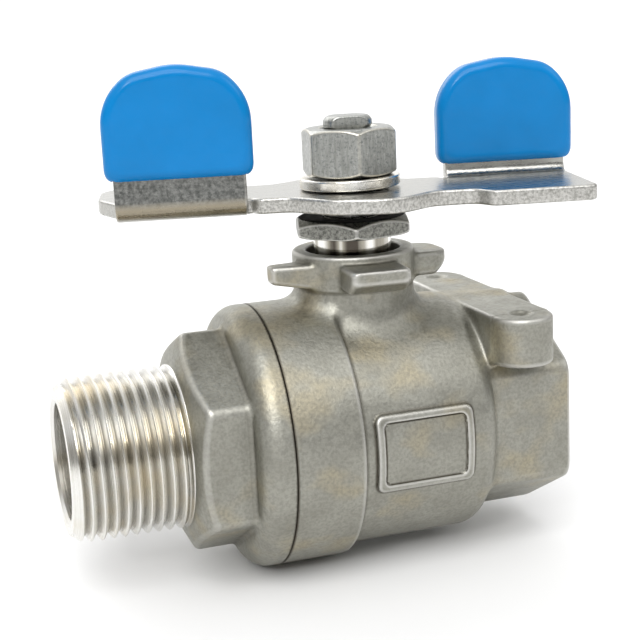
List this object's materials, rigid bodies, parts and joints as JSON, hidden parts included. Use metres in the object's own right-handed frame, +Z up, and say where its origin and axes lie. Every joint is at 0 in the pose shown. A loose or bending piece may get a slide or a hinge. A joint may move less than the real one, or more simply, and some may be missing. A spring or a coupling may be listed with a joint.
{
  "type": "ball valve",
  "caption": "Two-piece full-bore ball valve with a male thread, a female thread and a butterfly handle with sleeved wings.",
  "frame": {"origin": "where the pipe axis meets the stem axis, at the centre of the ball", "axes": "+X along the pipe, out of the female end; +Z up the stem towards the handle; the male end points to -X"},
  "size_m": [0.0911, 0.0457, 0.0829],
  "materials": {
    "cast_steel": "bead-blasted investment casting, satin",
    "polished_steel": "ground and polished",
    "machined_steel": "turned, fine tool marks",
    "plate_steel": "stamped sheet with sheared edges",
    "seat_plastic": "machined fluoropolymer",
    "seal_rubber": "moulded",
    "blue_vinyl": "dip-coated, glossy"
  },
  "bodies": {
    "valve_body": {"body": "cast_steel", "end_cap": "cast_steel", "seat_ring_cap_side": "seat_plastic", "seat_ring_body_side": "seat_plastic", "cap_gasket": "seat_plastic", "thrust_washer": "seat_plastic", "packing_base_ring": "seat_plastic", "packing_ring_lower": "seat_plastic", "packing_ring_middle": "seat_plastic", "packing_ring_upper": "seat_plastic", "gland_follower": "machined_steel", "gland_nut": "machined_steel"},
    "handle": {"stem": "machined_steel", "stem_o_ring": "seal_rubber", "handle_plate": "plate_steel", "grip_left": "blue_vinyl", "grip_right": "blue_vinyl", "spring_washer": "polished_steel", "stem_nut": "machined_steel"},
    "ball": {"ball": "polished_steel"}
  },
  "joints": [
    {"name": "stem_turn", "type": "hinge", "parent": "valve_body", "child": "handle", "pos_m": [0, 0, 0], "axis": [0, 0, 1], "range_deg": [-77, 13]},
    {"name": "ball_turn", "type": "hinge", "parent": "valve_body", "child": "ball", "pos_m": [0, 0, 0], "axis": [0, 0, 1], "range_deg": [-77, 13]}
  ],
  "couplings": [
    {"joint": "ball_turn", "follows": "stem_turn", "ratio": 1}
  ]
}
